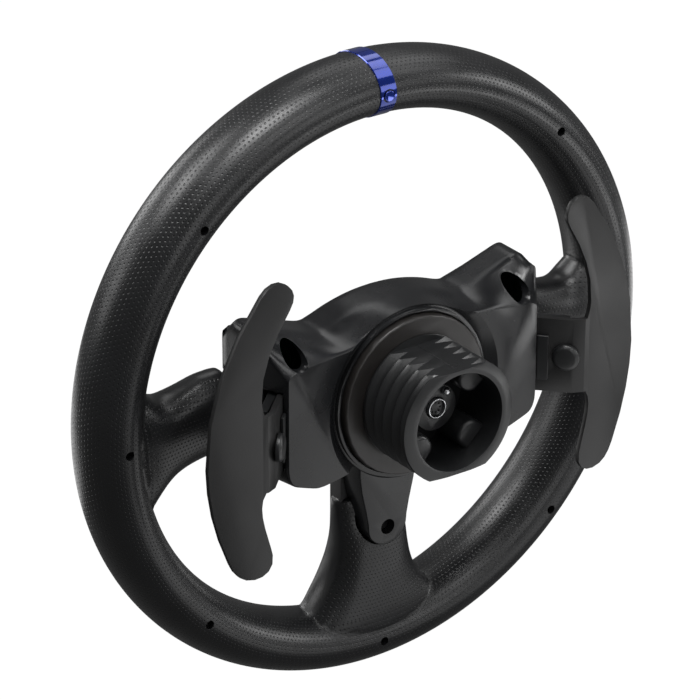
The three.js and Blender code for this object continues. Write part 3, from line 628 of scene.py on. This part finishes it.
# The rest of the sleeve's section, from the end face through the bore to the foot.
SLEEVE_RINGS = [(END_FACE_R, 0), (COLLAR_BORE_R + 0.35, 0), (COLLAR_BORE_R + 0.1, -0.1),
                (COLLAR_BORE_R, -0.4), (COLLAR_BORE_R, LEDGE), (CENTRE_HOLE_R, LEDGE),
                (CENTRE_HOLE_R, COLLAR_BACK), (COLLAR_FOOT_R, COLLAR_BACK),
                (COLLAR_FOOT_R, COLLAR_FOOT)]

# A lug's rows, as (place along the axis, how far its sides are pulled in).
LUG_ROWS = [(INSERT_TOP - 0.5, 0), (-11.2, 0), (-10.2, 0.3), (-9.65, 0.9), (-9.4, 1.8)]
PARTING_LINE_R = 0.28


def thread_point(row, turn):
    """Place along the axis and radius of a thread row, at a part of a turn."""
    pitch_count, k = divmod(row, len(THREAD_ROWS))
    phase, depth = THREAD_ROWS[k]
    y = THREAD_PHASE + (pitch_count + phase - turn) * THREAD_PITCH
    y = min(max(y, COLLAR_FOOT), -CONE_DROP)
    from_foot = min(max((y - COLLAR_FOOT) / THREAD_FADE[0], 0), 1)
    from_end = min(max((-CONE_DROP - y) / THREAD_FADE[1], 0), 1)
    return y, COLLAR_R - (COLLAR_R - COLLAR_ROOT_R) * depth * (from_foot * from_end)


def thread_wall():
    """The sleeve's outside, in helical rows that drop by one pitch in a turn."""
    n = SLEEVE_SIDES
    per_turn = len(THREAD_ROWS)
    rows = range(-per_turn, per_turn * THREAD_TURNS)
    points = []
    for row in rows:
        for i in range(n):
            a = i / n * math.tau
            y, r = thread_point(row, i / n)
            points.append((r * math.cos(a), y, r * math.sin(a)))

    def at(row, i):
        """A point's number. Past a full turn it is the first one of the row a pitch below."""
        return row * n + i if i < n else max(row - per_turn, 0) * n

    faces = []
    for row in range(len(rows) - 1):
        for i in range(n):
            faces.append((at(row, i), at(row, i + 1), at(row + 1, i + 1), at(row + 1, i)))
    return points, faces


def sleeve():
    """The thread, closed by plain rings into one solid."""
    n = SLEEVE_SIDES
    points, faces = thread_wall()
    rows = len(points) // n
    for r, y in SLEEVE_RINGS:
        points += circle(r, y, n)
    order = [*range(rows - 1, rows + len(SLEEVE_RINGS)), 0]
    for a, b in zip(order, order[1:]):
        for i in range(n):
            j = (i + 1) % n
            faces.append((a * n + i, a * n + j, b * n + j, b * n + i))
    return points, faces


def cleaned(mesh):
    """The mesh with doubled points joined, empty faces gone and the rest turned outward."""
    bm = bmesh.new()
    bm.from_mesh(mesh)
    bmesh.ops.remove_doubles(bm, verts=bm.verts, dist=0.00001)
    bmesh.ops.dissolve_degenerate(bm, edges=bm.edges, dist=0.00001)
    bmesh.ops.recalc_face_normals(bm, faces=bm.faces)
    bm.to_mesh(mesh)
    bm.free()
    return mesh


def collar():
    """The threaded sleeve with its two flats, the lug insert and the mould line."""
    mesh = cleaned(mesh_of("collar_skin", *sleeve()))
    obj = new_object("collar_skin", mesh, "collar_plastic")
    low, high = COLLAR_FOOT + 0.1, 5
    cut(obj, [box_tool("flat", -PAST_COLLAR, PAST_COLLAR, low, high, COLLAR_FLAT, PAST_COLLAR),
              box_tool("flat", -PAST_COLLAR, PAST_COLLAR, low, high, -PAST_COLLAR, -COLLAR_FLAT)])
    smooth(obj, 28)
    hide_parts("collar")
    lug_insert()
    parting_line()


def lug_insert():
    """The floor of the bore, with four rounded lugs that run out to the bore's wall."""
    reach = COLLAR_BORE_R - 0.05
    foot = LEDGE + 0.1
    floor = [(CENTRE_HOLE_R, INSERT_TOP), (CENTRE_HOLE_R, foot), (reach, foot), (reach, INSERT_TOP)]
    rows = []
    for i in range(96):
        a = i / 96 * math.tau
        rows.append([(r * math.cos(a), y, r * math.sin(a)) for r, y in floor])
    shapes = [grid(rows, round_rows=True)]
    for k in range(LUGS):
        a = (k + 0.5) / LUGS * math.tau
        shapes.append(lug(math.cos(a), math.sin(a)))
    mesh = outward(mesh_of("lug_insert_skin", *joined(shapes)))
    obj = new_object("lug_insert_skin", mesh, "collar_plastic")
    smooth(obj, 40)
    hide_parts("lug_insert")


def lug(out_x, out_z):
    """A lug along a direction: a blunt nose towards the axis, straight sides, a rounded end."""
    nose = [(LUG_R + LUG_NOSE * math.cos(t), LUG_HALF * math.sin(t))
            for t in (math.pi * (0.5 + i / 20) for i in range(21))]
    outline = [(LUG_REACH, LUG_HALF + 0.5), *nose, (LUG_REACH, -LUG_HALF - 0.5)]
    length = LUG_REACH - LUG_R + LUG_NOSE
    rows = []
    for y, inset in LUG_ROWS:
        row = []
        for u, v in outline:
            u = LUG_REACH - (LUG_REACH - u) * (1 - inset / length)
            v = v * (1 - inset / LUG_HALF)
            row.append((out_x * u - out_z * v, y, out_z * u + out_x * v))
        rows.append(row)
    return grid(rows, capped=True)


def parting_line():
    """The fine mould line along both flats of the sleeve."""
    height = COLLAR_FLAT - 0.12
    shapes = [rod(PARTING_LINE_R, COLLAR_FOOT + 0.3, -0.5, 0.4, z, 12) for z in (height, -height)]
    obj = new_object("collar_line", outward(mesh_of("collar_line", *joined(shapes))), "collar_plastic")
    smooth(obj)


# ---------------------------------------------------------------- rear housing
# Half outlines, from the top of the centre line clockwise to the bottom, as (x, z).
LOWER_HALF = [(48, -30), (33, -27.3), (29.5, -25.2), (21.8, -32.2), (11.5, -37.2), (0, -38.9)]
MIDDLE_HALF = [(0, 39), (12, 38.2), (24, 35.5), (36, 31.1), (67, 41.3), (70, 39.5), (70, 19),
               (66, 14), (66, -20), (64, -25.5), *LOWER_HALF]
SLOPE_HALF = [(0, 38.9), (12, 37.6), (24, 33.2), (35, 30.2), (63.4, 34.6), (70, 39.3), (70, 19),
              (66, 14), (65.5, -20), (63.5, -25.5), *LOWER_HALF]
REAR_HALF = [(0, 38.9), (12, 37), (24, 31), (33.2, 29.3), (59, 27.4), (63.8, 25), (63.8, 19),
             (63.8, 14), (63.8, -20), (62, -25), *LOWER_HALF]
DOME_COLUMNS = 3  # the dome runs over this many stretches of the half outline
LAST_ARC = 3  # and so many stretches at the bottom are round
CORNER_ROUNDING = 4  # passes that round the outline's corners
HOUSING_DEPTHS = [SEAM_DEPTH, 3, FULL_DEPTH, 9, 13, 17, SLOPE_START, 22, 24, 26, SLOPE_MIDDLE, 30, 32,
                  34, 36, REAR_EDGE, 37.8, HUB_DEPTH]

# Turned cuts, as (radius, depth): the collar's seat, and the sloping dish round it.
SEAT = [(33.8, -2), (33.8, 32.3), (36.2, 32.3), (36.2, 51)]
DISH = [(37.6, 35.9), (37.6, 33.6), (38.4, 33.6), (43.4, 38.2), (43.4, 50)]
DISH_BACK = [(45.5, 30.8), (45.5, 40)]  # the room stops short of the dish here
ROOM_ROWS = [(0.2, 3.0), (6, 2.4), (18.5, 2.6), (26, 3.4), (34, 4.2)]  # depth, wall thickness
LEG_ROWS = [(6.8, 0.0), (18.9, 0.0), (19.3, -0.15), (19.5, -0.6)]  # depth, growth


def key_outlines():
    """The half outlines at their depths, as arrays."""
    middle, slope, rear = (np.array(h, float) for h in (MIDDLE_HALF, SLOPE_HALF, REAR_HALF))
    seam = middle * (1, 1 - SEAM_DROP / HUB_TOP)
    end = rear * (1 - EDGE_INSET / HUB_HALF_WIDE, 1 - EDGE_INSET / HUB_TOP)
    return [(SEAM_DEPTH, seam), (FULL_DEPTH, middle), (SLOPE_START, middle), (SLOPE_MIDDLE, slope),
            (REAR_EDGE, rear), (HUB_DEPTH, end)]


def half_outline(y):
    """The half outline at a depth: smooth over the dome, straight-sided over the pods."""
    keys = key_outlines()
    k = max(i for i in range(len(keys) - 1) if keys[i][0] <= y or i == 0)
    (y0, a), (y1, b) = keys[k], keys[k + 1]
    t = (y - y0) / (y1 - y0)
    half = a + (b - a) * t
    if SLOPE_START <= y < REAR_EDGE:  # the dome's own slope is a little rounded
        ease = t * t * (3 - 2 * t) * 0.35 + t * 0.65
        half[:DOME_COLUMNS] = (a + (b - a) * ease)[:DOME_COLUMNS]
    return half


def beyond(half, i):
    """The points before and after a stretch of the half outline, which bend its curve."""
    last = len(half) - 1
    before = half[i - 1] if i else half[1] * (-1, 1)
    after = half[i + 2] if i + 1 < last else half[last - 1] * (-1, 1)
    if i == DOME_COLUMNS - 1:
        after = 2 * half[i + 1] - half[i]
    if i == last - LAST_ARC:
        before = 2 * half[i] - half[i + 1]
    return before, after


def rounded(points):
    """An outline with its corners worn down, and both of its ends kept."""
    for _ in range(CORNER_ROUNDING):
        inner = [(a + 2 * b + c) / 4 for a, b, c in zip(points, points[1:], points[2:])]
        points = [points[0], *inner, points[-1]]
    return points


def fine_outline(y, step=1.6, inset=0.0):
    """The whole outline at a depth. It has equally many points at every depth."""
    half = half_outline(y) * (1 - inset / HUB_HALF_WIDE, 1 - inset / HUB_TOP)
    last = len(half) - 1
    points = []
    for i in range(last):
        b, c = half[i], half[i + 1]
        a, d = beyond(half, i)
        bent = i < DOME_COLUMNS or i >= last - LAST_ARC
        length = np.hypot(*(np.array(MIDDLE_HALF[i + 1]) - MIDDLE_HALF[i]))  # as at every depth
        count = max(int(max(length, 1) / step), 1)
        for j in range(count):
            t = j / count
            points.append(curve(a, b, c, d, t) if bent else b + (c - b) * t)
    points.append(np.array((0.0, half[-1][1])))
    right = [(p[0], RIM_Y + y, p[1]) for p in rounded(points)]
    return right + [(-x, yy, z) for x, yy, z in reversed(right[1:-1])]


def box_tool(name, x0, x1, y0, y1, z0, z1):
    low = [(x0, y0, z0), (x1, y0, z0), (x1, y0, z1), (x0, y0, z1)]
    return tool(name, *grid([low, [(x, y1, z) for x, _, z in low]], capped=True))


def turned_tool(name, profile, sides=128):
    """A solid of revolution about the spin axis, from (radius, depth) points, flat at both ends."""
    rows = [circle(r, RIM_Y + y, sides) for r, y in profile]
    return tool(name, *grid(rows, capped=True))


def leg_outline(grow):
    """Straight sides that narrow to a half round end."""
    right = [(x + grow, z) for x, z in LEG_HALF]
    left = [(-x, z) for x, z in reversed(right)]
    r = LEG_END_R + grow
    turns = (-i / 32 * math.pi for i in range(1, 32))
    return [*right, *((r * math.cos(a), LEG_END_Z + r * math.sin(a)) for a in turns), *left]


def leg_tool():
    """The leg that runs down over the lower spoke, before it is joined to the hub."""
    rows = [[(x, RIM_Y + y, z) for x, z in leg_outline(grow)] for y, grow in LEG_ROWS]
    return tool("leg", *grid(rows, capped=True))


def hub_room():
    """The hollow inside the hub, which stays clear of the dish round the collar."""
    rows = [fine_outline(y, 6, wall) for y, wall in ROOM_ROWS]
    rows[0] = [(x, RIM_Y - 1, z) for x, _, z in rows[0]]
    room = tool("room", *grid(rows, capped=True))
    cut(room, [turned_tool("dish_back", DISH_BACK, 64)])
    return room


def housing_tools():
    """The collar's seat and dish, the room, and the openings for screws, tabs and spokes."""
    tools = [turned_tool("seat", SEAT), turned_tool("dish", DISH), hub_room()]
    x, z = WELL_PLACE
    top, bottom = (RIM_Y + depth for depth in SLOT_DEPTHS)
    for s in (1, -1):
        tools.append(tool("well", *rod(WELL_R, RIM_Y + WELL_FLOOR, RIM_Y + 50, x * s, z, 64)))
        slot_x = sorted((SLOT_START * s, PAST_HUB * s))
        tools.append(box_tool("slot", *slot_x, top, bottom, -SLOT_HALF, SLOT_HALF))
    front, rear = (RIM_Y + depth for depth in WINDOW_DEPTHS)
    tools.append(box_tool("windows", -PAST_HUB, PAST_HUB, front, rear, *WINDOW_HEIGHTS))
    tools.append(tool("hole", *rod(LEG_HOLE_R, RIM_Y + LEG_HOLE_DEPTH, RIM_Y + 30, 0, LEG_HOLE_Z, 48)))
    tools.append(tool("hole", *rod(LEG_SCREW_R, RIM_Y, RIM_Y + 30, 0, LEG_HOLE_Z, 32)))
    return tools


def rear_housing():
    """The hub's rear shell and its leg, in one piece, with fine rounded edges."""
    rows = [fine_outline(y) for y in HOUSING_DEPTHS]
    mesh = outward(mesh_of("rear_housing_skin", *grid(rows, capped=True)))
    obj = new_object("rear_housing_skin", mesh, "shell_plastic")
    leg = leg_tool()
    add = obj.modifiers.new("leg", "BOOLEAN")
    add.operation = "UNION"
    add.solver = "EXACT"
    add.object = leg
    baked(obj)
    bpy.data.objects.remove(leg)
    cut(obj, housing_tools())
    bevel = obj.modifiers.new("bevel", "BEVEL")
    bevel.width = HUB_EDGE_R * MM
    bevel.segments = 2
    bevel.limit_method = "ANGLE"
    bevel.angle_limit = math.radians(30)
    bevel.use_clamp_overlap = True
    baked(obj)
    smooth(obj, 32)
    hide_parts("rear_housing")


# ---------------------------------------------------------------- small parts
def socket_pins():
    """The connector's small contacts, in a ring with one place left out, in its insert."""
    shapes = []
    for i in range(CONTACTS):
        a = i / (CONTACTS + 1) * math.tau + math.pi / 2
        x, z = CONTACT_RING_R * math.cos(a), CONTACT_RING_R * math.sin(a)
        shapes.append(rod(CONTACT_R, *CONTACT_ENDS, x, z, 16))
    obj = new_object("socket_pins", outward(mesh_of("socket_pins", *joined(shapes))), "black_steel")
    smooth(obj)


# CAD nodes whose edges show, as (radius in millimetres, segments).
SOFT_EDGES = {
    "front_shell": (0.8, 3), "flange_disc": (0.4, 3),
    "spoke_frame": (0.5, 2), "centre_cap": (0.5, 3), "connector_carrier": (0.4, 3),
    "connector_shell": (0.1, 2), "connector_insert": (0.2, 2), "earth_screw": (0.15, 3),
    "band_screw": (0.3, 3), "leg_screw": (0.4, 3), "direction_pad": (0.5, 3),
    "right_housing_screw": (0.4, 3), "left_housing_screw": (0.4, 3),
    "right_paddle": (0.35, 3), "left_paddle": (0.35, 3),
    "right_paddle_screw": (0.5, 4), "left_paddle_screw": (0.5, 4),
    "right_paddle_clamp": (0.25, 3), "left_paddle_clamp": (0.25, 3),
    "right_paddle_lever": (0.4, 3), "left_paddle_lever": (0.4, 3),
}


def carried_over():
    """Materials on every CAD node, and rounded edges on those that show."""
    slots = {s["node"]: s["material_slot"] for s in frame["record"]["subparts"]}
    for node, obj in NODES.items():
        material = MATERIALS[slots[node]]
        if not obj.data.materials:
            obj.data.materials.append(material)
        for slot in obj.material_slots:
            slot.material = material
        if node.endswith("_button"):
            softened(node, 0.5)
        elif node in SOFT_EDGES:
            softened(node, *SOFT_EDGES[node])


# ---------------------------------------------------------------- stage and light
FLOOR_HALF = 9  # metres
FLOOR_Z = -0.145
SOFTBOX_REACH = 1.9
SOFTBOX_SIZE = 0.7
CARD_SIZE = 0.3
CARD_Z = -0.143
WORLD_LIGHT = 0.12
CAMERA_TURN = 35.5  # degrees from +Y towards +X


def stage():
    """An evenly glowing white floor, which shows no shadow and isn't seen in reflections."""
    low, high = -FLOOR_HALF, FLOOR_HALF
    mesh = bpy.data.meshes.new("floor")
    mesh.from_pydata([(low, low, 0), (high, low, 0), (high, high, 0), (low, high, 0)], [], [(0, 1, 2, 3)])
    floor = bpy.data.objects.new("floor", mesh)
    floor.location.z = FLOOR_Z
    bpy.context.scene.collection.objects.link(floor)
    m = Nodes("floor", (0, 0, 0), 1.0)
    m.shader.inputs["Emission Color"].default_value = (1, 1, 1, 1)
    m.shader.inputs["Emission Strength"].default_value = 1.0
    mesh.materials.append(m.material)
    floor.visible_glossy = False
    floor.visible_diffuse = False


# Softboxes round the object: turn from the camera's side and height, in degrees, and watts.
SOFTBOXES = {
    "top": (0, 80, 22.0), "over": (0, 60, 3.5), "behind": (180, 50, 2.5), "high_left": (100, 50, 13.5),
    "high_right": (-44, 44, 4.5), "back_right": (-100, 50, 3.3), "rear_right": (-140, 50, 3.5),
    "side_right": (-100, 15, 8.0), "low_right": (-60, 15, 3.5), "front": (-25, 15, 3.0),
    "rim_left": (135, 15, 6.0), "side_left": (100, 15, 3.8),
}
# Lights that face up from just over the floor, as bounce cards would: place in metres, and watts.
CARDS = {
    "card_right": (-0.48, -0.14, 0.6), "card_front": (-0.44, 0.36, 1.1), "card_back": (0.10, -0.40, 0.35),
    "card_left": (-0.04, 0.42, 0.3), "card_near": (-0.12, 0.14, 0.24),
}


def area(name, place, way, size, power):
    """A square light that is bright but not seen itself."""
    data = bpy.data.lights.new(name, "AREA")
    data.shape = "SQUARE"
    data.size = size
    data.energy = power
    light = bpy.data.objects.new(name, data)
    light.location = place
    light.rotation_mode = "QUATERNION"
    light.rotation_quaternion = Vector(way).to_track_quat("-Z", "Y")
    light.visible_camera = False
    bpy.context.scene.collection.objects.link(light)


def lights():
    """A dim even world, the softboxes round the rim's centre, and the cards."""
    world = bpy.data.worlds.new("world")
    world.use_nodes = True
    background = world.node_tree.nodes["Background"].inputs
    background["Color"].default_value = (1, 1, 1, 1)
    background["Strength"].default_value = WORLD_LIGHT
    bpy.context.scene.world = world
    centre = Vector((0, RIM_Y * MM, 0))
    for name, (turn, height, power) in SOFTBOXES.items():
        a, e = math.radians(CAMERA_TURN + turn), math.radians(height)
        out = Vector((math.cos(e) * math.sin(a), math.cos(e) * math.cos(a), math.sin(e)))
        area(name, centre + out * SOFTBOX_REACH, -out, SOFTBOX_SIZE, power)
    for name, (x, y, power) in CARDS.items():
        area(name, (x, y, CARD_Z), (0, 0, 1), CARD_SIZE, power)
    bpy.context.scene.view_settings.view_transform = "Standard"


# ---------------------------------------------------------------- making
camera()
stage()
lights()
carried_over()
grip()
band()
collar()
rear_housing()
socket_pins()
